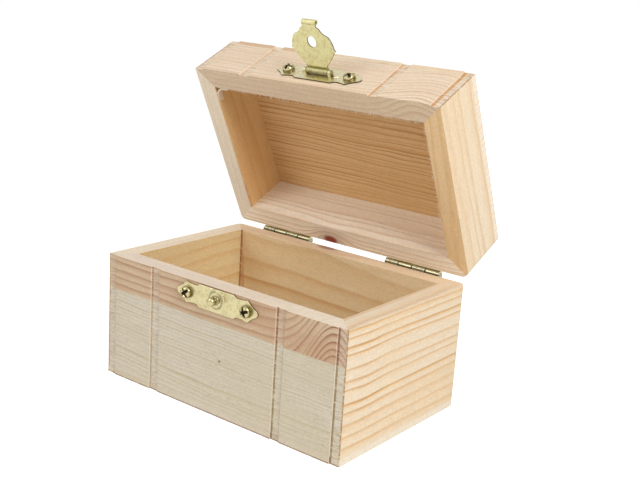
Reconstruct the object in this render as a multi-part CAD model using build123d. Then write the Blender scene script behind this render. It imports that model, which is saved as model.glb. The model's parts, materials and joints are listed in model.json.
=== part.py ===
from build123d import *
import os

# Small pine box with a hinged lid and a brass-plated hasp.
# Millimetres. X runs left to right, Y front to back, Z up; the origin is the centre of
# the underside. The lid is drawn shut, then turned open about its hinges, as in the photo.

# Carcass
width = 110.0
depth = 71.5
base_height = 46.5
lid_height = 22.5
wall = 7.6
panel = 2.5
front_corner = 0.6
back_left_corner = 2.0
back_right_corner = 3.5
panel_corner = 0.5
front_seam = 33.9

# Sawn bands across the front boards, each from one X to the next
band_depth = 0.9
bands = ((-60.0, -50.7), (-32.4, -28.0), (26.0, 30.0), (51.0, 60.0))

# Butt hinges on the back
hinge_inset = 24.5
hinge_length = 24.0
hinge_off = 2.0
leaf_sheet = 0.9
leaf_reach = 8.0
leaf_gap = 0.3
barrel = 1.5
barrel_gap = 0.3
knuckle_gap = 0.15
hinge_pin = 0.7
running_clearance = 0.05
pin_overhang = 0.2
hinge_screw_pitch = 13.0
hinge_screw_drop = 5.0
hinge_screw_head = 1.6
hinge_screw_shank = 0.75
hinge_screw_length = 5.5

# Stamped plates of the hasp and its catch
sheet = 0.5
body_half = 4.2
body_end = 7.9
notch_at = 9.3
notch_half = 3.3
lobe_half = 3.5
lobe_end = 13.8
tip_at = 18.65
screw_at = 13.7
screw_head = 2.25
screw_crown = 1.9
screw_rim = 0.3
screw_shank = 0.95
screw_length = 6.0
screw_clearance = 0.1
catch_height = 42.0
hasp_height = 53.7

# Catch stud
stud_height = 42.4
boss_foot = 3.9
boss_top = 2.6
boss_rise = 0.5
collar = 1.7
collar_rise = 0.4
neck = 1.1
head_start = 2.4
stud_head = 1.55
stud_reach = 4.2
rivet = 0.8

# Hasp flap, lengths taken from its pin
flap_pin_off = 1.7
flap_pin = 0.45
flap_knuckle = 1.0
flap_knuckle_half = 4.7
ear_gap = 0.2
ear_width = 1.2
dimple_at = 7.9
dimple_radius = 1.1
dimple_rise = 0.4
flap_face = 1.65
flap_half_width = 9.9
hole_at = 11.2
hole_half_width = 1.95
hole_half_length = 2.15
tab_at = 18.3
tab_half = 3.0
tab_radius = 0.95
tab_bore = 0.35

# How far the photo shows them turned
lid_lift = 64.3
flap_lift = 92.0

front_face = -depth / 2
back_face = depth / 2
total_height = base_height + lid_height
hinge_centre = width / 2 - hinge_inset
lid_axis = Axis((0, back_face + hinge_off, base_height), (-1, 0, 0))
flap_axis = Axis((0, front_face - flap_pin_off, hasp_height), (-1, 0, 0))
front_plane = Plane((0, front_face, 0), x_dir=(1, 0, 0), z_dir=(0, -1, 0))
back_plane = Plane((0, back_face, 0), x_dir=(-1, 0, 0), z_dir=(0, 1, 0))


def along_x(radius, x0, x1, y, z):
    """Round bar between two X positions."""
    middle = (x0 + x1) / 2
    return Pos(middle, y, z) * Rot(0, 90, 0) * Cylinder(radius, x1 - x0)


def block(x0, x1, y0, y1, z0, z1):
    """Box between pairs of coordinates."""
    size = Box(x1 - x0, y1 - y0, z1 - z0)
    return Pos((x0 + x1) / 2, (y0 + y1) / 2, (z0 + z1) / 2) * size


def turned(plane, x, z, points, crown=0.0):
    """Turned piece on the front or back face: radius and height going outwards."""
    radius, top = points[-1]
    if crown:
        points += ((0.5 * radius, top + crown),)
    profile = Polyline((0, points[0][1]), *points, (0, top + crown), close=True)
    return plane * Pos(plane.x_dir.X * x, z, 0) * revolve(make_face(Plane.XZ * profile), Axis.Z)


def shank(plane, x, z, radius, start, stop):
    """Hidden part of a screw, or the hole for it, drawn with twelve flats."""
    prism = extrude(RegularPolygon(radius, 12), stop - start)
    return plane * Pos(plane.x_dir.X * x, z, start) * prism


# Wooden boards

def footprint(front, left, right):
    """The box seen from above, its corners eased by sanding."""
    face = Rectangle(width, depth)
    eased = ((-1, -1, front), (1, -1, front), (-1, 1, left), (1, 1, right))
    for x, y, radius in eased:
        corner = Vertex(x * width / 2, y * depth / 2, 0)
        face = fillet(face.vertices().sort_by_distance(corner)[0], radius)
    return face


def mitred(side):
    """Plan of one wall, cut at 45 degrees where it meets its neighbours."""
    past = 1.0
    inner = wall + past
    x, y = width / 2, depth / 2
    if side in ("left", "right"):
        outline = ((x + past, -y - past), (x + past, y + past),
                   (x - inner, y - inner), (x - inner, -y + inner))
    else:
        outline = ((-x - past, y + past), (x + past, y + past),
                   (x - inner, y - inner), (-x + inner, y - inner))
    wedge = make_face(Polyline(*outline, close=True))
    if side == "left":
        wedge = mirror(wedge, Plane.YZ)
    if side == "front":
        wedge = mirror(wedge, Plane.XZ)
    walls = footprint(front_corner, back_left_corner, back_right_corner)
    walls -= Rectangle(width - 2 * wall, depth - 2 * wall)
    return walls & wedge


def board(side, low, high):
    """One wall from its lower edge to its upper edge."""
    solid = extrude(Pos(0, 0, low) * mitred(side), high - low)
    if side == "front":
        for x0, x1 in bands:
            solid -= block(x0, x1, front_face - 1, front_face + band_depth, low - 1, high + 1)
    return solid


def thin_board(low, corners):
    """Flat board under or over the walls."""
    return extrude(Pos(0, 0, low) * footprint(*corners), panel)


# Butt hinges

def knuckles(centre):
    """X ranges of the four knuckles, which belong to the base and the lid by turns."""
    start = centre - hinge_length / 2
    quarter = hinge_length / 4
    return [(start + i * quarter, start + (i + 1) * quarter) for i in range(4)]


def hinge_screws(centre, shut_above):
    """X and Z of the two screws in one leaf."""
    z = base_height + hinge_screw_drop * shut_above
    return [(centre + hinge_screw_pitch / 2 * side, z) for side in (-1, 1)]


def countersunk(x, z):
    """Countersunk screw from the back, its head level with the leaf."""
    head = turned(back_plane, x, z, ((hinge_screw_shank, 0), (hinge_screw_head, leaf_sheet)))
    return head + shank(back_plane, x, z, hinge_screw_shank, -hinge_screw_length, 0)


def leaf(centre, on_lid):
    """Hinge leaf with its knuckles, lying flat on the back of the base or the lid."""
    up = 1 if on_lid else -1
    spans = knuckles(centre)
    own = spans[1::2] if on_lid else spans[::2]
    other = spans[::2] if on_lid else spans[1::2]
    bore = hinge_pin + (running_clearance if on_lid else 0)
    z_axis = base_height
    ends = sorted((z_axis + up * leaf_gap, z_axis + up * leaf_reach))
    x0, x1 = centre - hinge_length / 2, centre + hinge_length / 2
    solid = block(x0, x1, back_face, back_face + leaf_sheet, *ends)
    for a, b in own:
        trim_a = knuckle_gap if a > x0 else 0
        trim_b = knuckle_gap if b < x1 else 0
        solid += along_x(barrel, a + trim_a, b - trim_b, lid_axis.position.Y, z_axis)
    for a, b in other:
        reach = barrel + barrel_gap
        past_a = 0 if a > x0 else 1
        past_b = 0 if b < x1 else 1
        solid -= block(a - past_a, b + past_b, back_face - 1, back_face + 2 * hinge_off,
                       z_axis - reach, z_axis + reach)
    solid -= along_x(bore, x0 - 1, x1 + 1, lid_axis.position.Y, z_axis)
    for x, z in hinge_screws(centre, up):
        solid -= countersunk(x, z)
    return solid


# Hasp and catch

def stamped_plate(height):
    """Brass plate with a notched body and two pointed lobes."""
    def on_lobe(along, across):
        return lobe_end + along * (tip_at - lobe_end), across * lobe_half

    edge = Polyline((0, 0), (0, body_half), (body_end, body_half), (notch_at, notch_half),
                    on_lobe(0, 1))
    edge += ThreePointArc(on_lobe(0, 1), on_lobe(0.35, 0.8), on_lobe(0.52, 0.43))
    edge += ThreePointArc(on_lobe(0.52, 0.43), on_lobe(0.74, 0.29), (tip_at, 0))
    edge += Line((tip_at, 0), (0, 0))
    quarter = make_face(edge)
    half = quarter + mirror(quarter, Plane.YZ)
    face = half + mirror(half, Plane.XZ)
    solid = extrude(front_plane * Pos(0, height) * face, sheet)
    for x in (-screw_at, screw_at):
        solid -= shank(front_plane, x, height, screw_shank + screw_clearance, -sheet, 2 * sheet)
    return solid


def round_screw(x, z):
    """Round-head wood screw through a plate."""
    head = turned(front_plane, x, z, ((screw_head, sheet), (screw_head, sheet + screw_rim)),
                  crown=screw_crown - screw_rim)
    return head + shank(front_plane, x, z, screw_shank, -screw_length, sheet)


def catch_plate():
    """Plate under the rim with a pressed boss round the stud."""
    solid = stamped_plate(catch_height)
    solid += turned(front_plane, 0, stud_height, ((boss_foot, sheet / 2), (boss_foot, sheet),
                                                  (boss_top, sheet + boss_rise)))
    rim = catch_height + body_half
    solid -= block(-boss_foot, boss_foot, front_face - 2, front_face, rim, rim + boss_foot)
    return solid - turned(front_plane, 0, stud_height, ((rivet, -sheet), (rivet, boss_foot)))


def catch_stud():
    """Riveted stud: collar, narrow neck and rounded head."""
    top = sheet + boss_rise
    collar_top = top + collar_rise
    crown = stud_head / 2
    return turned(front_plane, 0, stud_height,
                  ((rivet, 0), (rivet, top), (collar, top), (collar, collar_top),
                   (neck, collar_top), (neck, head_start), (stud_head, head_start),
                   (stud_head, stud_reach - crown)), crown=crown)


def hasp_plate():
    """Plate on the lid with two ears that hold the pin."""
    solid = stamped_plate(hasp_height)
    inner = flap_knuckle_half + ear_gap
    y = front_face - flap_pin_off
    for side in (-1, 1):
        x0, x1 = sorted((side * inner, side * (inner + ear_width)))
        solid += block(x0, x1, y, front_face - sheet / 2,
                       hasp_height - flap_knuckle, hasp_height + flap_knuckle)
        solid += along_x(flap_knuckle, x0, x1, y, hasp_height)
        solid += turned(front_plane, side * dimple_at, hasp_height,
                        ((dimple_radius, sheet / 2), (dimple_radius, sheet)),
                        crown=dimple_rise)
    return solid - along_x(flap_pin, -inner - 2, inner + 2, y, hasp_height)


def hasp_pin():
    """Pin through both ears and the flap."""
    half = flap_knuckle_half + ear_gap + ear_width + pin_overhang
    return along_x(flap_pin, -half, half, front_face - flap_pin_off, hasp_height)


def flap_half():
    """Right half of the flap's outline, X across and the length downwards."""
    def at(across, along):
        return across * flap_half_width, along * tab_at

    waist, flare, tooth, below = at(0.505, 0.142), at(0.92, 0.432), at(1, 0.456), at(0.94, 0.497)
    hip, step, toe = at(0.768, 0.738), at(0.687, 0.76), at(0.424, 0.885)
    edge = Polyline((0, 0), (flap_knuckle_half, 0), (flap_knuckle_half, flap_knuckle), waist)
    edge += ThreePointArc(waist, at(0.727, 0.273), flare)
    edge += Polyline(flare, tooth, below)
    edge += ThreePointArc(below, at(0.889, 0.623), hip)
    edge += Line(hip, step)
    edge += ThreePointArc(step, at(0.525, 0.809), toe)
    edge += Polyline(toe, (tab_half, 0.924 * tab_at), (tab_half, tab_at), (0, tab_at), (0, 0))
    return make_face(edge)


def hasp_flap():
    """Flap hanging shut: curled knuckle, holed leaf and curled finger tab."""
    half = flap_half()
    face = half + mirror(half, Plane.YZ)
    face -= Pos(0, hole_at) * Ellipse(hole_half_width, hole_half_length)
    hung = Plane((0, front_face - flap_face, hasp_height), x_dir=(1, 0, 0), z_dir=(0, 1, 0))
    solid = extrude(hung * face, -sheet)
    y = front_face - flap_pin_off
    solid += along_x(flap_knuckle, -flap_knuckle_half, flap_knuckle_half, y, hasp_height)
    y_tab = front_face - flap_face - tab_radius
    z_tab = hasp_height - tab_at
    solid += along_x(tab_radius, -tab_half, tab_half, y_tab, z_tab)
    solid -= along_x(tab_bore, -tab_half - 1, tab_half + 1, y_tab, z_tab)
    return solid - along_x(flap_pin + running_clearance, -tip_at, tip_at, y, hasp_height)


# Everything in place, the lid shut

base_nodes = {
    "base_front_lower": board("front", panel, front_seam),
    "base_front_upper": board("front", front_seam, base_height),
    "base_left": board("left", panel, base_height),
    "base_right": board("right", panel, base_height),
    "base_back": board("back", panel, base_height),
    "base_bottom": thin_board(0, (panel_corner, panel_corner, panel_corner)),
    "catch_plate": catch_plate(),
    "catch_stud": catch_stud(),
}
lid_nodes = {
    "lid_front": board("front", base_height, total_height - panel),
    "lid_left": board("left", base_height, total_height - panel),
    "lid_right": board("right", base_height, total_height - panel),
    "lid_back": board("back", base_height, total_height - panel),
    "lid_top": thin_board(total_height - panel,
                          (front_corner, back_left_corner, back_right_corner)),
    "hasp_plate": hasp_plate(),
    "hasp_pin": hasp_pin(),
}
hinge_base = []
hinge_lid = []
for name, side in (("left", -1), ("right", 1)):
    centre = side * hinge_centre
    half = hinge_length / 2 + pin_overhang
    base_nodes[f"hinge_{name}_base_leaf"] = leaf(centre, False)
    base_nodes[f"hinge_{name}_pin"] = along_x(hinge_pin, centre - half, centre + half,
                                              lid_axis.position.Y, base_height)
    lid_nodes[f"hinge_{name}_lid_leaf"] = leaf(centre, True)
    hinge_base += [countersunk(x, z) for x, z in hinge_screws(centre, -1)]
    hinge_lid += [countersunk(x, z) for x, z in hinge_screws(centre, 1)]

catch_screws = [round_screw(x, catch_height) for x in (-screw_at, screw_at)]
hasp_screws = [round_screw(x, hasp_height) for x in (-screw_at, screw_at)]

# Pilot holes in the boards behind the screws
for nodes, name, screws in ((base_nodes, "base_front_upper", catch_screws),
                            (base_nodes, "base_back", hinge_base),
                            (lid_nodes, "lid_front", hasp_screws),
                            (lid_nodes, "lid_back", hinge_lid)):
    for screw in screws:
        nodes[name] -= screw

base_nodes["catch_screws"] = catch_screws
base_nodes["hinge_base_screws"] = hinge_base
lid_nodes["hasp_screws"] = hasp_screws
lid_nodes["hinge_lid_screws"] = hinge_lid
lid_nodes["hasp_flap"] = hasp_flap().rotate(flap_axis, flap_lift)

# Open the lid as the photo shows it and write every piece

os.makedirs("parts", exist_ok=True)
for nodes, opening in ((base_nodes, 0), (lid_nodes, lid_lift)):
    for name, piece in nodes.items():
        if isinstance(piece, list):
            piece = Compound(children=[solid.rotate(lid_axis, opening) for solid in piece])
        else:
            piece = piece.rotate(lid_axis, opening)
        export_step(piece, f"parts/{name}.step")
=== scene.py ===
import bpy
import bmesh
import cmath
import json
import math
import random
from mathutils import Matrix, Vector


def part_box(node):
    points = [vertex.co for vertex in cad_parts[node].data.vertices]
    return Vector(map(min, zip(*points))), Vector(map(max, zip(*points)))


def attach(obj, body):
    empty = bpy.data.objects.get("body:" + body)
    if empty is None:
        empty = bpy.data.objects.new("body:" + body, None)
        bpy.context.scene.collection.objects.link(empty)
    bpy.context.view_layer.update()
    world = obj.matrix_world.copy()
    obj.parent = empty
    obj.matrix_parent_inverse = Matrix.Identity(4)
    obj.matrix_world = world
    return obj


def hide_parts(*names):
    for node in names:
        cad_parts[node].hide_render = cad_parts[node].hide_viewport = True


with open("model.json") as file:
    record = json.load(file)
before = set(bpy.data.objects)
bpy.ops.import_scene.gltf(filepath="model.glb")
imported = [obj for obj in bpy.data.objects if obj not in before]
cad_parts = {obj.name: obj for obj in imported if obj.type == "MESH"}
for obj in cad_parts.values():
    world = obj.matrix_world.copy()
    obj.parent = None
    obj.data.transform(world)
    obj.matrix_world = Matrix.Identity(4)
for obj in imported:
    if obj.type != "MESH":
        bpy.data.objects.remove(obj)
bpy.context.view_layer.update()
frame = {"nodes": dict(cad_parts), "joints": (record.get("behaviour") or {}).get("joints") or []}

# Small pine box with a hinged lid and a brass-plated hasp, open on a white floor.
# Shapes are worked out in millimetres with the lid shut, then turned open with their body.

MM = 0.001

joints = {joint["name"]: joint for joint in frame["joints"]}


def opening(joint):
    """How far a joint stands from shut in the photo, in radians."""
    return math.radians(-joints[joint]["range_deg"][0])


def turned_open(point, angle):
    """Turn about the X line through a point, the way both hinges open."""
    there = Matrix.Translation(point)
    return there @ Matrix.Rotation(-angle, 4, "X") @ there.inverted()


hinge_at = Vector(joints["lid_hinge"]["pos_m"]) / MM
lid_open = turned_open(hinge_at, opening("lid_hinge"))
hasp_at = lid_open.inverted() @ (Vector(joints["hasp_hinge"]["pos_m"]) / MM)
flap_open = lid_open @ turned_open(hasp_at, opening("hasp_hinge"))
place_of = {"base": Matrix.Identity(4), "lid": lid_open, "flap": flap_open}

front_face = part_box("base_front_lower")[0].y / MM
back_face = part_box("base_back")[1].y / MM
rim_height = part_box("base_front_upper")[1].z / MM
seam_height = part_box("base_front_upper")[0].z / MM


# Meshes into pieces

def new_object(name, data):
    """New object, linked to the scene."""
    made = bpy.data.objects.new(name, data)
    bpy.context.scene.collection.objects.link(made)
    return made


def add_piece(name, bm, body, material, replaced, bevel=0.0, weighted=False):
    """Turn a shape in millimetres into a piece that rides on its body."""
    bm.transform(Matrix.Scale(MM, 4) @ place_of[body])
    mesh = bpy.data.meshes.new(name)
    bm.to_mesh(mesh)
    bm.free()
    piece = new_object(name, mesh)
    mesh.materials.append(material)
    if bevel:
        edges = piece.modifiers.new("eased edges", "BEVEL")
        edges.width = bevel * MM
        edges.segments = 2
        edges.limit_method = "WEIGHT" if weighted else "ANGLE"
        edges.angle_limit = math.radians(32)
    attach(piece, body)
    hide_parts(*replaced)


def skinned(bm, rings, steps):
    """Smooth closed skin over rings of points, a ring of one point being a pole."""
    for low, high in zip(rings, rings[1:]):
        for i in range(steps):
            corners = [low[i - 1], low[i]] if len(low) > 1 else [low[0]]
            corners += [high[i], high[i - 1]] if len(high) > 1 else [high[0]]
            bm.faces.new(corners)
    bmesh.ops.recalc_face_normals(bm, faces=bm.faces)
    for face in bm.faces:
        face.smooth = True
    return bm


def joined(*parts):
    """Several shapes as one."""
    whole = bmesh.new()
    for part in parts:
        scratch = bpy.data.meshes.new("part")
        part.to_mesh(scratch)
        whole.from_mesh(scratch)
        bpy.data.meshes.remove(scratch)
        part.free()
    return whole


def arc(start, middle, end, steps=8):
    """Points from start up to, and without, end on the circle through all three."""
    a, b, c = complex(*start), complex(*middle), complex(*end)
    skew = (c - a) / (b - a)
    centre = a + (b - a) * (skew - abs(skew) ** 2) / (2j * skew.imag)
    mid, sweep = [cmath.phase((point - centre) / (a - centre)) % math.tau for point in (b, c)]
    if mid > sweep:
        sweep -= math.tau
    points = [centre + (a - centre) * cmath.rect(1, sweep * i / steps) for i in range(steps)]
    return [(point.real, point.imag) for point in points]


def full_turn(steps):
    """Evenly spaced angles round a circle."""
    return [math.tau * i / steps for i in range(steps)]


def circle(x, z, radius_x, radius_z=None, steps=32):
    """Closed loop for a hole."""
    radius_z = radius_z or radius_x
    return [(x + radius_x * math.cos(a), z + radius_z * math.sin(a)) for a in full_turn(steps)]


def stamped(loops, y_back, y_front):
    """Sheet cut to an outline and holes in X and Z, between two depths in Y."""
    bm = bmesh.new()
    rims = []
    for loop in loops:
        corners = [bm.verts.new((x, y_back, z)) for x, z in loop]
        rims += [bm.edges.new((corners[i - 1], corners[i])) for i in range(len(corners))]
    bmesh.ops.triangle_fill(bm, use_beauty=True, use_dissolve=False, edges=rims)
    grown = bmesh.ops.extrude_face_region(bm, geom=list(bm.faces))
    moved = [item for item in grown["geom"] if isinstance(item, bmesh.types.BMVert)]
    bmesh.ops.translate(bm, verts=moved, vec=(0, y_front - y_back, 0))
    bmesh.ops.recalc_face_normals(bm, faces=bm.faces)
    return bm


def bar(section, x0, x1):
    """Closed section in Y and Z drawn out along X."""
    bm = bmesh.new()
    ends = [[bm.verts.new((x, y, z)) for y, z in section] for x in (x0, x1)]
    bm.faces.new(ends[0])
    bm.faces.new(list(reversed(ends[1])))
    for i in range(len(section)):
        bm.faces.new((ends[0][i - 1], ends[1][i - 1], ends[1][i], ends[0][i]))
    bmesh.ops.recalc_face_normals(bm, faces=bm.faces)
    return bm


def ring(bm, radius, y, steps):
    """Circle of points round the Y axis, or the one point of a pole."""
    return [bm.verts.new((radius * math.cos(a), y, radius * math.sin(a)))
            for a in (full_turn(steps) if radius else [0])]


def lathe(profile, steps=40, shade_rings=()):
    """Turn (radius, height) pairs about an axis that points out of the front, along -Y.
    The numbered pairs named in the last argument are painted darker, as painted shade."""
    bm = bmesh.new()
    hollow = bm.verts.layers.float.new("hollow")
    rings = [ring(bm, radius, -height, steps) for radius, height in profile]
    for i in shade_rings:
        for vert in rings[i]:
            vert[hollow] = 0.6
    return skinned(bm, rings, steps)


def crimp(start, end, steps=8):
    """Points that ease from one depth in Y to another on their way to, and without, the end."""
    (y0, z0), (y1, z1) = start, end
    shares = [i / steps for i in range(steps)]
    return [(y0 + (y1 - y0) * t * t * (3 - 2 * t), z0 + (z1 - z0) * t) for t in shares]


# Node helper and colours

def node(tree, kind, inputs=None, **settings):
    """Add a node with its settings. An input is a value, a socket or a node's first output,
    and a kind without a prefix is a shader node's."""
    made = tree.nodes.new(kind if "Node" in kind else f"ShaderNode{kind}")
    for key, value in settings.items():
        setattr(made, key, value)
    for key, value in (inputs or {}).items():
        socket = made.inputs[key] if isinstance(key, int) else next(
            each for each in made.inputs if each.enabled and each.name == key)
        if isinstance(value, bpy.types.Node):
            value = next(each for each in value.outputs if each.enabled)
        if isinstance(value, bpy.types.NodeSocket):
            tree.links.new(value, socket)
        else:
            socket.default_value = value
    return made


def colour(code):
    """sRGB hex to linear."""
    parts = [int(code[i:i + 2], 16) / 255 for i in (1, 3, 5)]
    linear = [c / 12.92 if c <= 0.04045 else ((c + 0.055) / 1.055) ** 2.4 for c in parts]
    return (*linear, 1)


def layered(tree, base, layers):
    """Lay colours over a base colour, each by its own share."""
    tint = colour(base)
    for share, shade in layers:
        tint = node(tree, "Mix", {"Factor": share, "A": tint, "B": colour(shade)}, data_type="RGBA")
    return tint


def empty_material(name):
    """Material with no nodes yet."""
    material = bpy.data.materials.new(name)
    material.use_nodes = True
    material.node_tree.nodes.clear()
    return material


# Pine

def growth_rings():
    """Growth rings of a softwood trunk, in a board's own millimetres: X along the grain,
    Y through the board, Z across its face. The grain swells round the knot point."""
    tree = bpy.data.node_groups.new("growth rings", "ShaderNodeTree")
    for way, kind, names in (
            ("INPUT", "Vector", ("Board", "Knot", "Reach")),
            ("INPUT", "Float", ("Pith Y", "Pith Z", "Spacing", "Slope", "Wander", "Swell")),
            ("OUTPUT", "Float", ("Late", "Line", "Core", "Fibre", "Cloud", "Speck", "Grit"))):
        for name in names:
            tree.interface.new_socket(name, in_out=way, socket_type=f"NodeSocket{kind}")
    given = tree.nodes.new("NodeGroupInput").outputs
    board = given["Board"]

    # Slow wander of the grain over some centimetres, then a fine wobble of each line
    placed = board
    for grain, share in (((0.014, 0.05, 0.05), 2.0), ((0.07, 0.3, 0.3), 0.4)):
        drift = node(tree, "Mapping", {"Vector": board, "Scale": grain})
        drift = node(tree, "TexNoise", {"Vector": drift, "Scale": 1, "Detail": 2}).outputs["Color"]
        drift = node(tree, "VectorMath", {0: drift, 1: (0.5, 0.5, 0.5)}, operation="SUBTRACT")
        strength = node(tree, "Math", {0: given["Wander"], 1: share}, operation="MULTIPLY")
        drift = node(tree, "VectorMath", {0: drift, "Scale": strength}, operation="SCALE")
        placed = node(tree, "VectorMath", {0: placed, 1: drift}, operation="ADD")

    # Bulge round a knot
    away = node(tree, "VectorMath", {0: board, 1: given["Knot"]}, operation="SUBTRACT")
    away = node(tree, "VectorMath", {0: away, 1: given["Reach"]}, operation="DIVIDE")
    square = node(tree, "VectorMath", {0: away, 1: away}, operation="DOT_PRODUCT")
    fall = node(tree, "Math", {0: square, 1: -1}, operation="MULTIPLY")
    core = node(tree, "Math", {0: fall}, operation="EXPONENT")
    bulge = node(tree, "Math", {0: core, 1: given["Swell"]}, operation="MULTIPLY")

    # Distance from the pith, counted in rings
    axes = node(tree, "SeparateXYZ", {0: placed}).outputs
    rise = node(tree, "Math", {0: axes["X"], 1: given["Slope"]}, operation="MULTIPLY")
    across = axes["Z"]
    for taken in (rise, bulge, given["Pith Z"]):
        across = node(tree, "Math", {0: across, 1: taken}, operation="SUBTRACT")
    through = node(tree, "Math", {0: axes["Y"], 1: given["Pith Y"]}, operation="SUBTRACT")
    radius = node(tree, "CombineXYZ", {"X": across, "Y": through})
    radius = node(tree, "VectorMath", {0: radius}, operation="LENGTH")
    count = node(tree, "Math", {0: radius, 1: given["Spacing"]}, operation="DIVIDE")
    uneven = node(tree, "TexNoise", {"W": count, "Scale": 0.43, "Detail": 1}, noise_dimensions="1D")
    count = node(tree, "Math", {0: uneven, 1: 1.4, 2: count}, operation="MULTIPLY_ADD")

    # Each ring warms slowly into its summer wood, which ends in a thin dark line
    phase = node(tree, "Math", {0: count}, operation="FRACT")
    own = node(tree, "Math", {0: count}, operation="FLOOR")
    own = node(tree, "TexWhiteNoise", {"W": own}, noise_dimensions="1D")
    own = node(tree, "MapRange", {"Value": own, "To Min": 0.25, "To Max": 1})
    ending = node(tree, "MapRange", {"Value": phase, "From Min": 0.88, "From Max": 1, "To Min": 1,
                                     "To Max": 0}, interpolation_type="SMOOTHSTEP")
    made = {"Core": core}
    for name, start, full in (("Late", 0.2, 0.85), ("Line", 0.6, 0.86)):
        strength = node(tree, "MapRange", {"Value": phase, "From Min": start, "From Max": full},
                        interpolation_type="SMOOTHSTEP")
        for limit in (ending, own):
            strength = node(tree, "Math", {0: strength, 1: limit}, operation="MULTIPLY")
        made[name] = strength

    # Fibres and sanding grit, drawn 0.5 mm wide because real ones are too fine for the
    # picture, colour clouds some centimetres long, and the brown dashes of resin canals
    for name, grain, detail in (("Fibre", (0.16, 2.0, 2.0), 3), ("Cloud", (0.02, 0.07, 0.07), 1),
                                ("Speck", (0.5, 3.2, 3.2), 0), ("Grit", (1.1, 1.7, 1.7), 2)):
        stretched = node(tree, "Mapping", {"Vector": placed, "Scale": grain})
        made[name] = node(tree, "TexNoise", {"Vector": stretched, "Scale": 1, "Detail": detail})
    node(tree, "NodeGroupOutput", made)
    return tree


rings_of_pine = growth_rings()
along_x = Matrix.Identity(4)
along_y = Matrix.Rotation(math.radians(-90), 4, "Z")
lying = Matrix.Rotation(math.radians(90), 4, "X")


def pine(part, body, grain, early, late, line, blush, pith, spacing, slope=0.0, wander=2.0,
         lines=0.6, clouds=0.5, flecks=0.0, burn_and_shade="#A98660", inner="#FFF7EA", knot=(0, 0, 0),
         reach=(1, 1, 1), swell=0.0, heart=None):
    """Sanded bare pine: matt and pale, warmer in each ring's summer wood."""
    material = empty_material(f"sanded pine, {part}")
    tree = material.node_tree
    to_board = grain @ place_of[body].inverted()
    seat = node(tree, "Mapping", {
        "Vector": node(tree, "TexCoord").outputs["Object"], "Location": to_board.translation,
        "Rotation": to_board.to_euler(), "Scale": [1 / MM] * 3})
    wood = node(tree, "Group", {
        "Board": seat, "Knot": knot, "Reach": reach, "Pith Y": pith[0], "Pith Z": pith[1],
        "Spacing": spacing, "Slope": slope, "Wander": wander, "Swell": swell},
        node_tree=rings_of_pine).outputs

    # Over the early wood lie the late wood and its dark line, then what shows of each pattern
    # between two levels: clouds, the halo and heart of a knot, and resin specks
    share = node(tree, "Math", {0: wood["Core"], 1: 0.8, 2: lines}, operation="MULTIPLY_ADD")
    share = node(tree, "Math", {0: wood["Line"], 1: share}, operation="MULTIPLY", use_clamp=True)
    layers = [(wood["Late"], late), (share, line)]
    patterns = [("Cloud", 0.4, 0.65, clouds, blush)]
    if heart:
        patterns += [("Core", 0.1, 0.9, 0.35, line), ("Core", 0.76, 0.9, 0.95, heart)]
    for pattern, low, high, most, shade in (*patterns, ("Speck", 0.74, 0.8, flecks, "#8C6A48")):
        share = node(tree, "MapRange", {"Value": wood[pattern], "From Min": low, "From Max": high,
                                        "To Max": most})
        layers.append((share, shade))

    # Painted faces: freshly cut and paler, with the cross lines of the saw, or scorched and darkened with
    # painted shade
    teeth = node(tree, "Mapping", {"Vector": seat, "Scale": (0.25, 0.25, 1.7)})
    teeth = node(tree, "TexNoise", {"Vector": teeth, "Scale": 1, "Detail": 2})
    for mark, low, most, shade in (("fresh", -1, 0.85, "#F6EAD7"), ("sawn", -1, 0.2, "#E6DCCC"),
                                   ("sawn", 0.46, 0.42, "#A08B6A"), ("scorched", 0.27, 0.9, burn_and_shade)):
        painted = node(tree, "Attribute", attribute_name=mark).outputs["Fac"]
        share = node(tree, "MapRange", {"Value": teeth, "From Min": low, "From Max": low + 0.2,
                                        "To Max": most})
        share = node(tree, "Math", {0: share, 1: painted}, operation="MULTIPLY")
        layers.append((share, shade))
    tint = layered(tree, early, layers)

    # Inner faces are multiplied by a darker, warmer colour as painted shade of the box's inside; some
    # rims take the same colour as a yellower tone
    inside = node(tree, "Attribute", attribute_name="inside").outputs["Fac"]
    tint = node(tree, "Mix", {"Factor": inside, "A": tint, "B": colour(inner)}, data_type="RGBA",
                blend_type="MULTIPLY")

    for pattern, low, high in (("Fibre", 0.95, 1.04), ("Grit", 0.93, 1.06)):
        streak = node(tree, "MapRange", {"Value": wood[pattern], "From Min": 0.3, "From Max": 0.7,
                                         "To Min": low, "To Max": high})
        tint = node(tree, "VectorMath", {0: tint, "Scale": streak}, operation="SCALE")
    rough = node(tree, "MapRange", {"Value": wood["Fibre"], "To Min": 0.52, "To Max": 0.72})
    relief = node(tree, "Math", {0: wood["Late"], 1: 0.5, 2: wood["Fibre"]}, operation="MULTIPLY_ADD")
    bump = node(tree, "Bump", {"Height": relief, "Strength": 0.25, "Distance": 0.1 * MM})
    surface = node(tree, "BsdfPrincipled", {"Base Color": tint, "Roughness": rough, "Normal": bump,
                                            "Specular IOR Level": 0.3})
    node(tree, "OutputMaterial", {"Surface": surface})
    return material


# Boards

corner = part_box("base_right")[1].x / MM
inner_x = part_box("base_right")[0].x / MM
inner_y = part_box("base_back")[0].y / MM
floor_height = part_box("base_bottom")[1].z / MM
cavity_height = 66.5
panels = {"base_bottom": 0.0, "lid_top": cavity_height}
seams = (floor_height, seam_height, cavity_height)
left_corner, right_corner = 2.0, 3.5
rim_gap = 0.03

# Bands: the depth the frame has, then the depths that show once edges are eased
band_depth, band_seen, panel_band = 0.9, 0.6, 0.45
bands = ((-60, -50.7), (-32.4, -28), (26, 30), (51, 60))
saw_pitch, saw_mark = 1.3, 0.06

# Scorched line at the left corner of a band, darkened further as painted shade: its width, then its
# strength from the second band on
scorch_and_shade_strips = {"base": (0.8, (0.5, 1.0, 1.0)), "lid": (1.2, (0.2, 0.7, 1.0))}
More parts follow.
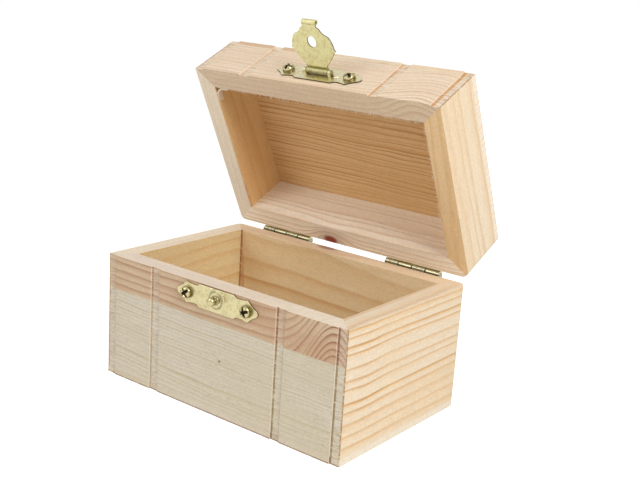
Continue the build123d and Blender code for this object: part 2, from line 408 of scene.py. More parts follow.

# Paint of rims and panel ends, and strips of painted shade below a height on faces that look along +Y or
# -Y
fresh_rims = {"base_front_upper": 0.9, "base_left": 0.7, "base_right": 0.35, "base_back": 0.2,
              "lid_left": 0.5, "lid_front": 0.5}
yellow_rims = {"lid_right": 0.7, "lid_front": 0.9}
fresh_ends, fresh_panel_ends = 0.45, 0.75
painted_shade_below = {"lid_front": (rim_height + 0.5, 1), "base_bottom": (0.6, -1)}
painted_shade_strength = 0.8

# Glue line in the inner corner: its width, then the slant and strength of the painted corner shade beside
# it
glue_line, corner_shade_slope, corner_shade = 0.8, 0.1, 0.4


def panel(z0):
    """Thin board across the whole box, its front edge cut by the bands."""
    sunk = front_face + panel_band
    outline = []
    for low, high in bands:
        outline += [(low, front_face), (low, sunk)] if low > -corner else [(-corner, sunk)]
        outline += [(high, sunk), (high, front_face)] if high < corner else [(corner, sunk)]
    for side, radius in ((1, right_corner), (-1, left_corner)):
        start, end = (corner, back_face - radius), (corner - radius, back_face)
        between = radius * (1 - math.sqrt(0.5))
        turned = arc(start, (corner - between, back_face - between), end, 6) + [end]
        outline += turned if side > 0 else [(-x, y) for x, y in reversed(turned)]
    bm = stamped([outline], z0, z0 + floor_height)
    bm.transform(Matrix(((1, 0, 0, 0), (0, 0, 1, 0), (0, 1, 0, 0), (0, 0, 0, 1))))
    bm.normal_update()
    bmesh.ops.recalc_face_normals(bm, faces=bm.faces)
    return bm


def planting(name, kinds):
    """Empty node tree with named inputs, and the identifier of each."""
    tree = bpy.data.node_groups.new(name, "GeometryNodeTree")
    sockets = {label: tree.interface.new_socket(label, in_out="INPUT",
                                                socket_type=f"NodeSocket{kind}").identifier
               for label, kind in kinds.items()}
    tree.interface.new_socket("Geometry", in_out="OUTPUT", socket_type="NodeSocketGeometry")
    return tree, sockets


def planted(tree, sockets, copies, material, mesh, values):
    """End a tree, run it on a mesh with its values and return the plain shape it makes."""
    copies = node(tree, "GeometryNodeRealizeInstances", {"Geometry": copies})
    copies = node(tree, "GeometryNodeSetMaterial", {"Geometry": copies, "Material": material})
    node(tree, "NodeGroupOutput", {"Geometry": copies})
    holder = new_object(tree.name, mesh)
    modifier = holder.modifiers.new("planting", "NODES")
    modifier.node_group = tree
    for label, value in values.items():
        modifier[sockets[label]] = value
    bpy.context.view_layer.update()
    evaluated = holder.evaluated_get(bpy.context.evaluated_depsgraph_get())
    bm = bmesh.new()
    bm.from_mesh(bpy.data.meshes.new_from_object(evaluated))
    bpy.data.objects.remove(holder)
    return bm


# Inner rim edges of the lid where the saw tore out fibres: ends, turn inward and seed
torn_x, torn_y = inner_x - 2, inner_y - 2
torn_edges = {"lid_front": ((-torn_x, -inner_y), (torn_x, -inner_y), 0, 11),
              "lid_left": ((-inner_x, torn_y), (-inner_x, -torn_y), -90, 12),
              "lid_right": ((inner_x, -torn_y), (inner_x, torn_y), 90, 13)}


def torn_fibres(start, end, turn, seed, material):
    """Short stiff fibres along an edge of the lid's rim, leaning into the box."""
    tree, sockets = planting("torn fibres", {
        "Edge": "Geometry", "Pitch": "Float", "Longest": "Float", "Thickness": "Float",
        "Turn": "Float", "Spread": "Float", "Share": "Float", "Seed": "Int", "Material": "Material"})
    given = tree.nodes.new("NodeGroupInput").outputs
    path = node(tree, "GeometryNodeMeshToCurve", {"Mesh": given["Edge"]})
    path = node(tree, "GeometryNodeResampleCurve", {"Curve": path, "Length": given["Pitch"]},
                mode="LENGTH")
    kept = node(tree, "FunctionNodeRandomValue", {"Probability": given["Share"],
                                                  "Seed": given["Seed"]}, data_type="BOOLEAN")
    fibre = node(tree, "GeometryNodeMeshCone", {"Vertices": 5, "Radius Top": 0.3,
                                                "Radius Bottom": 1.0, "Depth": 1.0})
    fibre = node(tree, "GeometryNodeStoreNamedAttribute",
                 {"Geometry": fibre.outputs["Mesh"], "Name": "fresh", "Value": 0.8},
                 data_type="FLOAT", domain="FACE")
    chance = []
    for low, high, off in ((0.25, 1.0, 1), (-1.0, 1.0, 2), (-0.35, 0.2, 3)):
        later = node(tree, "Math", {0: given["Seed"], 1: off}, operation="ADD")
        chance.append(node(tree, "FunctionNodeRandomValue",
                           {"Min": low, "Max": high, "Seed": later}, data_type="FLOAT"))
    length = node(tree, "Math", {0: chance[0], 1: given["Longest"]}, operation="MULTIPLY")
    spin = node(tree, "Math", {0: chance[1], 1: given["Spread"], 2: given["Turn"]},
                operation="MULTIPLY_ADD")
    lean = node(tree, "Math", {0: chance[2], 1: -math.pi / 2}, operation="ADD")
    thickness = given["Thickness"]
    size = node(tree, "CombineXYZ", {"X": thickness, "Y": thickness, "Z": length})
    way = node(tree, "CombineXYZ", {"X": lean, "Z": spin})
    copies = node(tree, "GeometryNodeInstanceOnPoints",
                  {"Points": path, "Selection": kept.outputs[3], "Instance": fibre,
                   "Rotation": way, "Scale": size})
    mesh = bpy.data.meshes.new("torn edge")
    mesh.from_pydata([(*start, rim_height + 0.2), (*end, rim_height + 0.2)], [(0, 1)], [])
    return planted(tree, sockets, copies, given["Material"], mesh, {
        "Pitch": 0.45, "Longest": 1.3, "Thickness": 0.09, "Turn": math.radians(turn),
        "Spread": 1.1, "Share": 0.7, "Seed": seed, "Material": material})


def torn_chip():
    """Shaving left standing across the front left inner corner of the lid."""
    path = [(-inner_x - 0.2, -inner_y + 6.5)]
    path += arc((-inner_x + 0.1, -inner_y + 4.5), (-inner_x + 1.3, -inner_y + 1.7),
                (-inner_x + 4.2, -inner_y + 0.5))
    path += [(-inner_x + 4.2, -inner_y + 0.5), (-inner_x + 6.2, -inner_y + 0.6)]
    bm = bar(section_of(path, 0.7), rim_height + 0.3, rim_height + 2.6)
    bm.transform(Matrix(((0, 1, 0, 0), (0, 0, 1, 0), (1, 0, 0, 0), (0, 0, 0, 1))))
    fresh = bm.faces.layers.float.new("fresh")
    for face in bm.faces:
        face[fresh] = 0.5
    return bm


def section_of(path, thickness):
    """Outline of a sheet that follows a path in Y and Z."""
    inner, outer = [], []
    for i, (y, z) in enumerate(path):
        before, after = path[max(i - 1, 0)], path[min(i + 1, len(path) - 1)]
        dy, dz = after[0] - before[0], after[1] - before[1]
        reach = math.hypot(dy, dz)
        ny, nz = -dz / reach * thickness / 2, dy / reach * thickness / 2
        inner.append((y + ny, z + nz))
        outer.append((y - ny, z - nz))
    return inner + list(reversed(outer))


def cut_across(bm, faces, point, normal):
    """Cut some faces along a plane."""
    around = {e for f in faces for e in f.edges} | {v for f in faces for v in f.verts}
    bmesh.ops.bisect_plane(bm, geom=[*faces, *around], plane_co=point, plane_no=normal, dist=0.01)


def board_shape(node_name, body):
    """Board as the frame has it, with shallower bands, or one of the thin panels."""
    if node_name in panels:
        return panel(panels[node_name])
    bm = bmesh.new()
    bm.from_mesh(frame["nodes"][node_name].data)
    bm.transform(place_of[body].inverted() @ Matrix.Scale(1 / MM, 4))
    for vert in bm.verts:
        if body == "lid" and abs(vert.co.z - rim_height) < 0.01:
            vert.co.z += rim_gap
        if "front" in node_name and abs(vert.co.y - front_face - band_depth) < 0.01:
            vert.co.y = front_face + band_seen
            if abs(abs(vert.co.x) - corner + band_depth) < 0.02:
                vert.co.x = math.copysign(corner - band_seen, vert.co.x)
    return bm


def board(node_name, body, material, slot):
    """A board with sanded edges, the marks of the saw in its bands, stains and painted shade."""
    bm = board_shape(node_name, body)
    bmesh.ops.remove_doubles(bm, verts=bm.verts, dist=0.002)
    bmesh.ops.dissolve_limit(bm, angle_limit=math.radians(1), verts=bm.verts, edges=bm.edges)
    sawn, scorched, fresh, inside = [bm.faces.layers.float.new(name)
                                     for name in ("sawn", "scorched", "fresh", "inside")]
    weight = bm.edges.layers.float.new("bevel_weight_edge")
    if "left" in node_name or "right" in node_name:
        notch_corner(bm, scorched)
    elif "back" not in node_name:
        saw_bands(bm, random.Random(node_name), sawn, scorched, *scorch_and_shade_strips[body])
    for face in bm.faces:
        middle, way = face.calc_center_median(), face.normal
        ahead = middle + way
        # Faces that look into the box are marked for the painted shade of its inside.
        if (abs(ahead.x) < inner_x and abs(ahead.y) < inner_y
                and 0 < ahead.z < cavity_height and abs(way.y) + abs(way.z) + abs(way.x) < 1.1):
            face[inside] = 1.0
        if abs(way.x) > 0.9 and abs(middle.x) < corner - 1 and middle.y < 1 - inner_y:
            face[fresh] = fresh_ends
        if abs(way.z) > 0.9 and abs(middle.z - rim_height) < 0.1:
            face[fresh] = fresh_rims.get(node_name, 0.0)
            face[inside] = yellow_rims.get(node_name, 0.0)
        if node_name in panels and abs(way.x) > 0.9 and abs(middle.x) > corner - 0.1:
            face[fresh] = fresh_panel_ends
    if node_name == "base_back":
        stain_glue_line_and_shade(bm, scorched, inside)
    # Strips of painted shade under the lid front's rim and along the foot of the bottom panel's front.
    if node_name in painted_shade_below:
        height, facing = painted_shade_below[node_name]
        cut_across(bm, [f for f in bm.faces if f.normal.y * facing > 0.9], (0, 0, height), (0, 0, 1))
        for face in bm.faces:
            if face.normal.y * facing > 0.9 and face.calc_center_median().z < height:
                face[scorched] = painted_shade_strength
    for edge in bm.edges:
        if edge.calc_length() > 2 and edge.calc_face_angle(0) > math.radians(30):
            seam = any(all(abs(v.co.z - z) < 0.01 for v in edge.verts) for z in seams)
            edge[weight] = 0.2 if seam else 1.0
    if node_name in torn_edges:
        bm = joined(bm, torn_fibres(*torn_edges[node_name], material))
    if node_name == "lid_left":
        bm = joined(bm, torn_chip())
    add_piece(f"{node_name}_board", bm, body, material, [node_name], bevel=0.25, weighted=True)


def stain_glue_line_and_shade(bm, scorched, inside):
    """Dark glue line in the inner left back corner, and a faint slanted band of painted shade beside it.
    """
    seam = Vector((glue_line - inner_x, 0, rim_height))
    for slope in (0.0, corner_shade_slope):
        cut_across(bm, [f for f in bm.faces if f[inside]], seam, (1, 0, slope))
    for face in [f for f in bm.faces if f[inside]]:
        off = face.calc_center_median() - seam
        if off.x + corner_shade_slope * off.z < 0:
            face[scorched] = 1.0 if off.x < 0 else corner_shade


def saw_bands(bm, rng, sawn, scorched, width, strengths):
    """Cross marks over the floor of each band, and the scorched line at its left corner, which also
    carries painted shade.
    """
    heights = []
    height = min(v.co.z for v in bm.verts) + saw_pitch
    while height < max(v.co.z for v in bm.verts) - 0.5:
        heights.append(height)
        cut_across(bm, band_floor(bm), (0, 0, height), (0.02, 0, 1))
        height += saw_pitch * rng.uniform(0.7, 1.3)
    burnt = list(zip([low for low, high in bands[1:]], strengths))
    for start, strength in burnt:
        cut_across(bm, band_floor(bm), (start + width, 0, 0), (1, 0, 0))
    floor = band_floor(bm)
    for face in floor:
        face[sawn] = 1.0
        across = face.calc_center_median().x
        for start, strength in burnt:
            if start < across < start + width:
                face[scorched] = strength
    for vert in {v for face in floor for v in face.verts}:
        nearest = min(range(len(heights)), key=lambda i: abs(heights[i] - vert.co.z))
        if abs(heights[nearest] - vert.co.z) < 0.3 * saw_pitch and nearest % 2:
            vert.co.y += saw_mark


def notch_corner(bm, scorched):
    """Let the outer bands run on through the end of a side wall."""
    bmesh.ops.bisect_plane(bm, geom=[*bm.faces, *bm.edges, *bm.verts], dist=0.01,
                           plane_co=(0, front_face + band_seen, 0), plane_no=(0, 1, 0), clear_inner=True)
    rim = [e for e in bm.edges if e.is_boundary]
    # The new end face is painted dark: end grain with painted shade.
    for face in bmesh.ops.contextual_create(bm, geom=rim)["faces"]:
        face[scorched] = 1.0
    bmesh.ops.recalc_face_normals(bm, faces=bm.faces)


def band_floor(bm):
    """Faces on the sunk floor of the sawn bands."""
    return [face for face in bm.faces if face.normal.y < -0.9
            and any(abs(face.calc_center_median().y - front_face - depth) < 0.05
                    for depth in (band_seen, panel_band))]


speck_x, speck_z = 2.0, 20.7

base_front_pine = pine(
    "pale front board", "base", along_x, early="#D3C9B7", late="#C5B695",
    line="#B0A07A", blush="#CBBEA2", pith=(-6, -8), spacing=0.95, slope=-0.01, wander=1.2,
    lines=0.3, flecks=0.3, burn_and_shade="#968260", knot=(speck_x, front_face, speck_z),
    reach=(0.95, 3, 0.8), heart="#6E5A44")
base_upper_pine = pine(
    "reddish front board", "base", along_x, early="#CEB494", late="#B08462",
    line="#8A5D44", blush="#B88C6C", pith=(-40, -30), spacing=3.1, wander=2.6, burn_and_shade="#8C5F48",
    inner="#FFFFF2", knot=(50.5, -36, 26), reach=(12, 60, 60), swell=26)
right_pine = pine(
    "right side", "base", along_y, early="#E8D6BC", late="#E5BC83", line="#C49359",
    blush="#E6CAA2", pith=(-10, -45), spacing=3.2, slope=-0.01, wander=0.8, lines=0.85,
    knot=(-24, -55, 26), reach=(9, 500, 16), swell=-1)
left_pine = pine(
    "left side", "base", along_y, early="#EAD4B0", late="#E2BE8C", line="#CC9E6A",
    blush="#E4C59A", pith=(-5, -40), spacing=4.4, slope=0.02, wander=2.4, lines=0.35, inner="#FFFFF0")
back_pine = pine(
    "back board with a knot", "base", along_x, early="#EAD0AE", late="#DDB282",
    line="#BE8A58", blush="#E0BE92", pith=(60, -30), spacing=6.5, slope=-0.03, wander=3.0,
    lines=0.5, burn_and_shade="#A8683E", inner="#FFFFF2", knot=(-7.6, 34.4, 47.5), reach=(10, 5, 7),
    swell=6, heart="#9C6238")
floor_pine = pine(
    "bottom panel", "base", lying, early="#D3C7B2", late="#C8B897", line="#B39C78",
    blush="#CCBB9E", pith=(60, -150), spacing=2.2, lines=0.3, burn_and_shade="#8A6C56")
lid_front_pine = pine(
    "lid front", "lid", along_x, early="#EBD8C0", late="#DFC1A0", line="#C4976F",
    blush="#E2C8AA", pith=(40, -30), spacing=1.4, wander=1.2, lines=0.15, burn_and_shade="#C59460",
    inner="#E6DACB", knot=(45, -35.75, 48), reach=(12, 16, 22), swell=6)
lid_side_pine = pine(
    "lid sides", "lid", along_y, early="#EBD7BA", late="#E4C294", line="#C79C68",
    blush="#E8CCA6", pith=(-160, -40), spacing=3.6, slope=0.02, inner="#FFEAC4")
lid_back_pine = pine(
    "lid back with a knot", "lid", along_x, early="#FCEFDC", late="#F0D6B6",
    line="#8E5A38", blush="#F6E4CC", pith=(160, 150), spacing=1.9, wander=2.2, lines=0.25,
    inner="#FFFFFF", knot=(-7.6, 34.6, 45.5), reach=(8, 4.5, 6), swell=-10, heart="#96300A")
lid_top_pine = pine(
    "lid top", "lid", lying, early="#EBD8BD", late="#D9B184", line="#A8744A",
    blush="#E0C4A0", pith=(-40, -160), spacing=1.9, slope=0.01, lines=0.65, burn_and_shade="#C59460",
    inner="#FBE5C0")

for node_name, material, slot in (
        ("base_front_lower", base_front_pine, "pine_pale"),
        ("base_front_upper", base_upper_pine, "pine_red"),
        ("base_left", left_pine, "pine_side"),
        ("base_right", right_pine, "pine_side"),
        ("base_back", back_pine, "pine_back"),
        ("base_bottom", floor_pine, "pine_panel"),
        ("lid_front", lid_front_pine, "pine_lid_front"),
        ("lid_left", lid_side_pine, "pine_lid_side"),
        ("lid_right", lid_side_pine, "pine_lid_side"),
        ("lid_back", lid_back_pine, "pine_lid_back"),
        ("lid_top", lid_top_pine, "pine_lid_top")):
    board(node_name, node_name.split("_")[0], material, slot)


# Brass

def brass(part, bright, tarnish, roughness):
    """Brass-plated steel: pale yellow-green and bright, brown at cut edges where the
    plating is thin, and darker with painted shade wherever a piece paints it."""
    material = empty_material(f"brass-plated steel, {part}")
    tree = material.node_tree
    seat = node(tree, "TexCoord").outputs["Object"]
    mottle = node(tree, "TexNoise", {"Vector": seat, "Scale": 900, "Detail": 3})
    share = node(tree, "MapRange", {"Value": mottle, "From Min": 0.45, "From Max": 0.7, "To Max": 0.6})
    marks = [(node(tree, "Attribute", attribute_name=mark).outputs["Fac"], shade)
             for mark, shade in (("cut", "#5E5030"), ("hollow", "#221A0E"))]
    tint = layered(tree, bright, [(share, tarnish), *marks])
    rough = node(tree, "MapRange", {"Value": mottle, "To Min": roughness, "To Max": roughness + 0.15})
    bump = node(tree, "Bump", {"Height": mottle, "Strength": 0.2, "Distance": 0.05 * MM})
    surface = node(tree, "BsdfPrincipled", {"Base Color": tint, "Metallic": 1.0,
                                            "Roughness": rough, "Normal": bump})
    node(tree, "OutputMaterial", {"Surface": surface})
    return material


# The catch and hasp plates are one plated steel in two copies: the hasp plate's is painted lighter, as
# painted light, and the catch plate's darker, as painted shade.
catch_brass_painted_darker = brass("catch plate", "#C4BA90", "#A2966A", 0.24)
hasp_brass_painted_lighter = brass("hasp plate", "#D9D0AB", "#B5AA7D", 0.24)
screw_brass = brass("screws", "#BDB184", "#6B5E38", 0.16)
hinge_brass = brass("hinges", "#CCC5A0", "#8A8058", 0.2)
flap_brass = brass("flap", "#CBC494", "#ACA26C", 0.42)

sheet = 0.5
body_half, body_end = 4.2, 7.9
notch_at, notch_half = 9.3, 3.3
lobe_at, lobe_half = 14.2, 3.9
cusp_at, cusp_half = 18.2, 1.0
tip_at, tip_half = 18.65, 0.4
screw_at = 13.7
screw_head_radius, screw_rim, screw_crown = 2.25, 0.3, 1.6
catch_height, stud_height = 42.0, 42.4
hasp_height = hasp_at.z
boss_foot, boss_top, boss_rise = 3.9, 2.5, 0.5
dimple_at = 7.9


def mark_cut_edges(bm):
    """Paint the cut edges of a sheet, where the plating is thin."""
    cut = bm.faces.layers.float.new("cut")
    for face in bm.faces:
        face[cut] = 1.0 if abs(face.normal.y) < 0.5 else 0.0
    return bm


def darken(bm, amount):
    """Paint shade on each point by an amount worked out from its place."""
    hollow = bm.verts.layers.float.new("hollow")
    for vert in bm.verts:
        vert[hollow] = amount(vert.co)
    return bm


def plate(height):
    """Stamped plate with a notched body and two blunt lobes."""
    lobe, cusp = (lobe_at, lobe_half), (cusp_at, cusp_half)
    quarter = [(0, body_half), (body_end, body_half), (notch_at, notch_half)]
    quarter += arc((11.2, notch_half), (12.6, 3.55), lobe, 4) + arc(lobe, (16.2, 2.15), cusp, 5)
    quarter += [cusp, (tip_at, tip_half)]
    right = quarter + [(tip_at, 0)] + [(x, -z) for x, z in reversed(quarter)]
    left = [(-x, z) for x, z in reversed(right)]
    outline = [(x, height + z) for x, z in right[:-1] + left[:-1]]
    return mark_cut_edges(stamped([outline], front_face, front_face - sheet))


def at_front(bm, x, z, off=sheet):
    """Move a turned shape onto the front, off the face by a sheet or more."""
    bm.transform(Matrix.Translation((x, front_face - off, z)))
    return bm


def curl(centre, radius, start, sweep, steps=28):
    """Points of a roll round a pin, angles in degrees from +Y towards +Z."""
    angles = [math.radians(start + sweep * i / steps) for i in range(steps + 1)]
    return [(centre[0] + radius * math.cos(a), centre[1] + radius * math.sin(a)) for a in angles]


# Turned and pressed shapes

def boss_profile():
    """Pressed boss round the stud, its foot running out into the plate."""
    return [(0, 0), (boss_foot, 0), (boss_foot - 0.35, 0.06), (boss_top + 0.3, boss_rise - 0.08),
            (boss_top, boss_rise), (0, boss_rise)]


def dome(radius, foot, rise):
    """Profile of a rounded top above its foot, without the pole."""
    angles = [math.radians(15 * i) for i in range(6)]
    return [(radius * math.cos(a), foot + rise * math.sin(a)) for a in angles]


def stud_profile():
    """Riveted stud: collar, narrow neck and rounded head."""
    collar = [(0, 0), (1.7, 0), (1.7, 0.3), (1.55, 0.42), (1.2, 0.5)]
    neck = [(1.1, 0.7), (1.05, 1.1), (1.15, 1.4)]
    head = [(1.45, 1.5), (1.55, 1.7)] + dome(1.55, 2.3, 0.9) + [(0, 3.2)]
    return collar + neck + head


def dimple_profile():
    """Small pressed dimple."""
    return [(0, -0.1), (1.25, -0.1), (1.2, 0.02)] + dome(1.1, 0, 0.4) + [(0, 0.4)]


def screw_head(radius, rim, crown, reach, half_width, depth, under):
    """Head with a cross recess, facing -Y with its seat at Y = 0. Its crown is nearly flat
    on top and turns down at a rounded shoulder."""
    bm = bmesh.new()
    hollow = bm.verts.layers.float.new("hollow")
    turns, steps, shoulder = 72, 26, 3
    rings = []
    for i in range(steps + 1):
        r = radius * math.sin(math.pi / 2 * i / steps)
        height = rim + crown * (1 - (r / radius) ** 4.5) ** 0.45
        rings.append(ring(bm, r, -height, turns))
        for vert in rings[i]:
            u, _, v = vert.co
            sunk = max(cross(u, v, reach, half_width), cross(v, u, reach, half_width))
            vert.co.y += depth * sunk
            # The cross recess and the rounded shoulder are painted darker: painted shade.
            vert[hollow] = max(min(1.6 * sunk, 1), 0.6 if i > steps - 1 - shoulder else 0)
    rings += [ring(bm, radius, under, turns), ring(bm, 0, under, turns)]
    return skinned(bm, rings, turns)


def cross(along, beside, reach, half_width):
    """How deep one arm of the recess is at a point, 0 outside it and 1 in the middle."""
    side = min(max((half_width - abs(beside)) / 0.12 + 0.5, 0), 1)
    end = min(max((reach - abs(along)) / (0.6 * reach), 0), 1)
    return side * end ** 0.7


def screw_row(name, head, count, pitch, seed):
    """Copies of a screw head in a row, each turned by chance about its own axis."""
    tree, sockets = planting(name, {"Count": "Int", "Pitch": "Float", "Seed": "Int",
                                    "Head": "Object", "Material": "Material"})
    given = tree.nodes.new("NodeGroupInput").outputs
    points = node(tree, "GeometryNodePoints", {"Count": given["Count"]})
    last = node(tree, "Math", {0: given["Count"], 1: 1}, operation="SUBTRACT")
    middle = node(tree, "Math", {0: last, 1: 0.5}, operation="MULTIPLY")
    index = node(tree, "GeometryNodeInputIndex")
    off = node(tree, "Math", {0: index, 1: middle}, operation="SUBTRACT")
    spot = node(tree, "Math", {0: off, 1: given["Pitch"]}, operation="MULTIPLY")
    spot = node(tree, "CombineXYZ", {"X": spot})
    points = node(tree, "GeometryNodeSetPosition", {"Geometry": points, "Position": spot})
    spin = node(tree, "FunctionNodeRandomValue",
                {"Min": 0.0, "Max": math.tau, "Seed": given["Seed"]}, data_type="FLOAT")
    spin = node(tree, "CombineXYZ", {"Y": spin})
    screw = node(tree, "GeometryNodeObjectInfo", {"Object": given["Head"]}).outputs["Geometry"]
    copies = node(tree, "GeometryNodeInstanceOnPoints",
                  {"Points": points, "Instance": screw, "Rotation": spin})
    mesh = bpy.data.meshes.new(f"{name} head")
    head.to_mesh(mesh)
    head.free()
    template = new_object(f"{name} head", mesh)
    bm = planted(tree, sockets, copies, given["Material"], bpy.data.meshes.new(name), {
        "Count": count, "Pitch": pitch, "Seed": seed, "Head": template, "Material": screw_brass})
    bpy.data.objects.remove(template)
    return bm


# Catch on the base

# A thin ring of painted shade lies on the boss round the foot of the stud.
catch = joined(plate(catch_height), at_front(lathe(boss_profile(), shade_rings=(3,)), 0, stud_height))
add_piece("catch_plate_stamped", catch, "base", catch_brass_painted_darker, ["catch_plate"], bevel=0.14)
# The top of the stud's collar, its neck and the underside of its head are painted with shade.
stud = at_front(lathe(stud_profile(), shade_rings=range(3, 9)), 0, stud_height, sheet + boss_rise)
add_piece("catch_stud_turned", stud, "base", screw_brass, ["catch_stud"])

for body, name, replaced, height, seed in (
        ("base", "catch_screw_heads", "catch_screws", catch_height, 3),
        ("lid", "hasp_screw_heads", "hasp_screws", hasp_height, 8)):
    head = screw_head(screw_head_radius, screw_rim, screw_crown, reach=2.05, half_width=0.5,
                      depth=1.1, under=0.0)
    heads = screw_row("round screws", head, 2, 2 * screw_at, seed)
    add_piece(name, at_front(heads, 0, height), body, screw_brass, [replaced])


# Hasp on the lid

ear_from, ear_to, ear_root = 4.9, 6.1, 0.2
pin_at = (hasp_at.y, hasp_at.z)
pin_radius, pin_half = 0.45, 6.3
roll_radius, roll_sheet = 0.74, 0.52
flap_half = 4.7


def ear(x0, x1):
    """Strip of the plate bent round the pin, painted evenly darker as painted shade."""
    loop = [(front_face - ear_root, hasp_height + roll_radius)]
    loop += curl(pin_at, roll_radius, 90, 180, 16)
    loop.append((front_face - ear_root, hasp_height - roll_radius))
    return darken(bar(section_of(loop, sheet), x0, x1), lambda at: 0.35)


dimples = [at_front(lathe(dimple_profile()), x, hasp_height) for x in (-dimple_at, dimple_at)]
hasp = joined(plate(hasp_height), *dimples, ear(-ear_to, -ear_from), ear(ear_from, ear_to))
add_piece("hasp_plate_stamped", hasp, "lid", hasp_brass_painted_lighter, ["hasp_plate"], bevel=0.12)


def pin(radius, half, y, z, x=0.0):
    """Pin along X with rounded ends."""
    profile = [(0, -half), (0.7 * radius, -half), (radius, -half + 0.3 * radius),
               (radius, half - 0.3 * radius), (0.7 * radius, half), (0, half)]
    # The rings at the rounded ends are painted with shade.
    bm = lathe(profile, 24, shade_rings=(1, 4))
    bm.transform(Matrix.Translation((x, y, z)) @ Matrix.Rotation(math.radians(90), 4, "Z"))
    return bm


add_piece("hasp_pin_rod", pin(pin_radius, pin_half, *pin_at), "lid", screw_brass,
          ["hasp_pin"])


# Flap

leaf_off, leaf_drop, leaf_overlap = 1.9, 1.9, 0.4
leaf_middle = front_face - leaf_off
leaf_top = hasp_height - leaf_drop
hole_drop, hole_radius_x, hole_radius_z = 11.2, 1.95, 2.15
tab_at, tab_radius, tab_half = 18.3, 0.7, 3.0


def flap_outline():
    """Outline of the leaf below its knuckle, X across and lengths down from the pin."""
    shoulder, wing, waist, foot = (5.0, 2.6), (9.1, 7.9), (7.6, 13.5), (4.2, 16.2)
    right = [(flap_half, leaf_drop), shoulder]
    right += arc(shoulder, (7.2, 5.0), wing)[1:]
    right += [wing, (9.9, 8.35)]
    right += arc((9.3, 9.1), (8.8, 11.4), waist)
    right += [waist]
    right += arc((6.8, 13.9), (5.2, 14.8), foot, 6)
    right += [foot, (tab_half, 16.9), (tab_half, tab_at - 0.3)]
    both = right + [(-x, down) for x, down in reversed(right)]
    return [(x, hasp_height - down) for x, down in both]


def flap_knuckle():
    """Sheet that leaves the leaf in a crimp and wraps the pin, painted darker towards the pin in random
    blotches as painted shade.
    """
    path = crimp((leaf_middle, leaf_top - leaf_overlap),
                 (pin_at[0] - roll_radius, hasp_height - leaf_overlap))
    path += curl(pin_at, roll_radius, 180, -320)
    neck = bar(section_of(path, roll_sheet), -flap_half, flap_half)
    for i in range(1, 8):
        cut_across(neck, list(neck.faces), (flap_half * (i / 4 - 1), 0, 0), (1, 0, 0))
    rng = random.Random(7)
    return darken(neck, lambda at: min(max((at.z - leaf_top + 0.2) / 2.5, 0), 1) * rng.uniform(0.3, 0.85))


def flap_tab():
    """Rolled end to lift the flap by."""
    centre = (leaf_middle - tab_radius, hasp_height - tab_at)
    path = [(leaf_middle, centre[1] + 0.6)] + curl(centre, tab_radius, 0, -335)
    return bar(section_of(path, sheet), -tab_half, tab_half)


hole = circle(0, hasp_height - hole_drop, hole_radius_x, hole_radius_z)
leaf = stamped([flap_outline(), hole], leaf_middle + sheet / 2, leaf_middle - sheet / 2)
flap = joined(mark_cut_edges(leaf), flap_knuckle(), flap_tab())
add_piece("hasp_flap_leaf", flap, "flap", flap_brass, ["hasp_flap"], bevel=0.1)


# Butt hinges

barrel_radius, barrel_sheet = 1.5, 0.8
hinge_pin_radius, hinge_pin_extra = 0.7, 0.2
leaf_reach, leaf_end, leaf_sheet, leaf_chamfer = 8.0, 2.3, 0.85, 0.4
knuckles, knuckle_gap = 4, 0.15
hinge_screw_drop, hinge_screw_pitch = 5.0, 13.0
hinge_screw_radius, hinge_screw_hole = 1.6, 1.72
axis = (hinge_at.y, hinge_at.z)


def painted_knuckle_shade(depth):
    """Painted shade and a painted darker reflection on a knuckle, by how far a point lies below the pin:
    a dark band round the middle, less dark below it, none above.
    """
    return 0.0 if depth < -0.2 * barrel_radius else 0.9 if depth < 0.25 * barrel_radius else 0.35


def hinge_leaf(x0, x1, body, first, up):
    """Leaf with every second knuckle from the first, up or down from the pin. The lower side
    of the knuckles, as the hinge stands open, is painted darker as painted shade and reflection, darkest
    where it starts."""
    under = place_of[body].inverted().to_3x3() @ Vector((0, -0.3, -0.95))
    outline = [(x0, leaf_end), (x1, leaf_end), (x1, leaf_reach - leaf_chamfer),
               (x1 - leaf_chamfer, leaf_reach), (x0 + leaf_chamfer, leaf_reach),
               (x0, leaf_reach - leaf_chamfer)]
    loops = [[(x, axis[1] + up * reach) for x, reach in outline]]
    for side in (-0.5, 0.5):
        loops.append(circle((x0 + x1) / 2 + side * hinge_screw_pitch,
                            axis[1] + up * hinge_screw_drop, hinge_screw_hole, steps=24))
    parts = [mark_cut_edges(stamped(loops, back_face, back_face + leaf_sheet))]
    rolled = barrel_radius - barrel_sheet / 2
    path = crimp((back_face + barrel_sheet / 2, axis[1] + up * (leaf_end + 0.3)),
                 (axis[0] - rolled, axis[1]))
    path += curl(axis, rolled, 180, up * 320)
    width = (x1 - x0) / knuckles
    for i in range(first, knuckles, 2):
        low = x0 + i * width + (knuckle_gap if i > 0 else 0)
        high = x0 + (i + 1) * width - (knuckle_gap if i < knuckles - 1 else 0)
        knuckle = bar(section_of(path, barrel_sheet), low, high)
        darken(knuckle, lambda at: painted_knuckle_shade(under.dot((0, at.y - axis[0], at.z - axis[1]))))
        parts.append(knuckle)
    return joined(*parts)


hinge_centres = []
for side in ("left", "right"):
    low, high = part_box(f"hinge_{side}_base_leaf")
    x0, x1 = low.x / MM, high.x / MM
    hinge_centres.append((x0 + x1) / 2)
    for body, first, up in (("base", 0, -1), ("lid", 1, 1)):
        add_piece(f"hinge_{side}_{body}_rolled_leaf", hinge_leaf(x0, x1, body, first, up), body,
                  hinge_brass, [f"hinge_{side}_{body}_leaf"], bevel=0.12)
    rod = pin(hinge_pin_radius, (x1 - x0) / 2 + hinge_pin_extra, *axis, hinge_centres[-1])
    add_piece(f"hinge_{side}_rod", rod, "base", hinge_brass, [f"hinge_{side}_pin"])

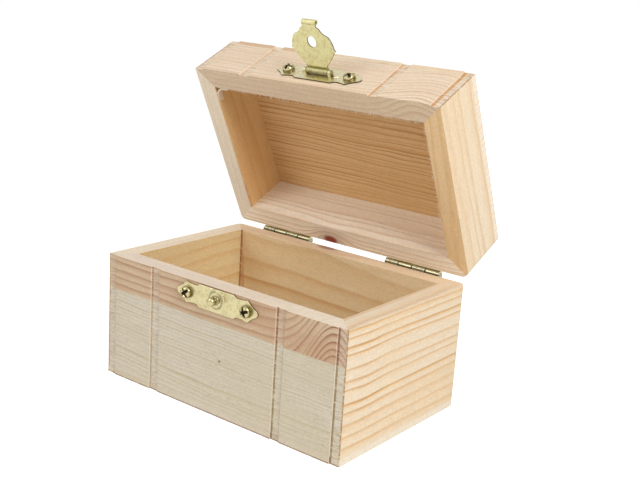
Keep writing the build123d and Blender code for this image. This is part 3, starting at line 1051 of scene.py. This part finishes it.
for body, up, seed in (("base", -1, 5), ("lid", 1, 6)):
    head = screw_head(hinge_screw_radius, rim=0.0, crown=0.12, reach=1.05, half_width=0.24,
                      depth=0.55, under=0.9)
    pair = screw_row("hinge screws", head, 2, hinge_screw_pitch, seed)
    heads = [pair.copy(), pair]
    for bm, x in zip(heads, hinge_centres):
        place = (x, back_face + leaf_sheet, axis[1] + up * hinge_screw_drop)
        bm.transform(Matrix.Translation(place) @ Matrix.Rotation(math.pi, 4, "Z"))
    add_piece(f"hinge_{body}_screw_heads", joined(*heads), body, screw_brass,
              [f"hinge_{body}_screws"])


# Floor, light and camera

def background_rays(tree):
    """1 for a ray that sees the white background itself: from the camera, metal or glass."""
    path = node(tree, "LightPath").outputs
    seen = path["Is Camera Ray"]
    for kind in ("Is Glossy Ray", "Is Transmission Ray"):
        seen = node(tree, "Math", {0: seen, 1: path[kind]}, operation="MAXIMUM")
    return seen


def white_floor():
    """Matt white paper. What the camera sees of it is lifted to the paper's white."""
    material = empty_material("matt white paper")
    tree = material.node_tree
    lift = node(tree, "Math", {0: background_rays(tree), 1: 0.6}, operation="MULTIPLY")
    grain = node(tree, "TexNoise", {"Scale": 300.0, "Detail": 2.0})
    tint = node(tree, "Mix", {"Factor": grain, "A": (0.9, 0.9, 0.9, 1), "B": (0.88, 0.88, 0.88, 1)},
                data_type="RGBA")
    paper = node(tree, "BsdfPrincipled", {"Base Color": tint, "Roughness": 0.9,
                                          "Emission Color": (1, 1, 1, 1), "Emission Strength": lift})
    node(tree, "OutputMaterial", {"Surface": paper})
    return material


half_floor = 3.0
floor_mesh = bpy.data.meshes.new("floor")
floor_mesh.from_pydata([(half_floor * x, half_floor * y, 0)
                        for x, y in ((-1, -1), (1, -1), (1, 1), (-1, 1))], [], [(0, 1, 2, 3)])
floor_mesh.materials.append(white_floor())
floor = new_object("floor", floor_mesh)

world = bpy.data.worlds.new("studio")
bpy.context.scene.world = world
world.use_nodes = True
sky = world.node_tree
sky.nodes.clear()
strength = node(sky, "MapRange", {"Value": background_rays(sky), "To Min": 0.4, "To Max": 1.0})
light = node(sky, "Background", {"Color": (1, 1, 1, 1), "Strength": strength})
node(sky, "OutputWorld", {"Surface": light})


def lamp(name, place, size, power):
    """Soft square lamp that faces the middle of the box, in millimetres and watts."""
    data = bpy.data.lights.new(name, "AREA")
    data.size = size * MM
    data.energy = power
    made = new_object(name, data)
    made.location = Vector(place) * MM
    aim = Vector((0, 0, 60)) - Vector(place)
    made.rotation_euler = aim.to_track_quat("-Z", "Y").to_euler()


lamp("key", (620, -260, 620), 360, 4.9)
lamp("fill", (-420, -700, 460), 500, 2.1)

camera_data = bpy.data.cameras.new("camera")
camera_data.sensor_width = 36
camera_data.lens = 59.34
camera_data.clip_start = 0.01
camera = new_object("camera", camera_data)
camera.location = Vector((231.1, -285.2, 157.1)) * MM
camera.rotation_euler = [math.radians(angle) for angle in (74.86, -3.64, 38.17)]
bpy.context.scene.camera = camera
bpy.context.scene.view_settings.view_transform = "Standard"
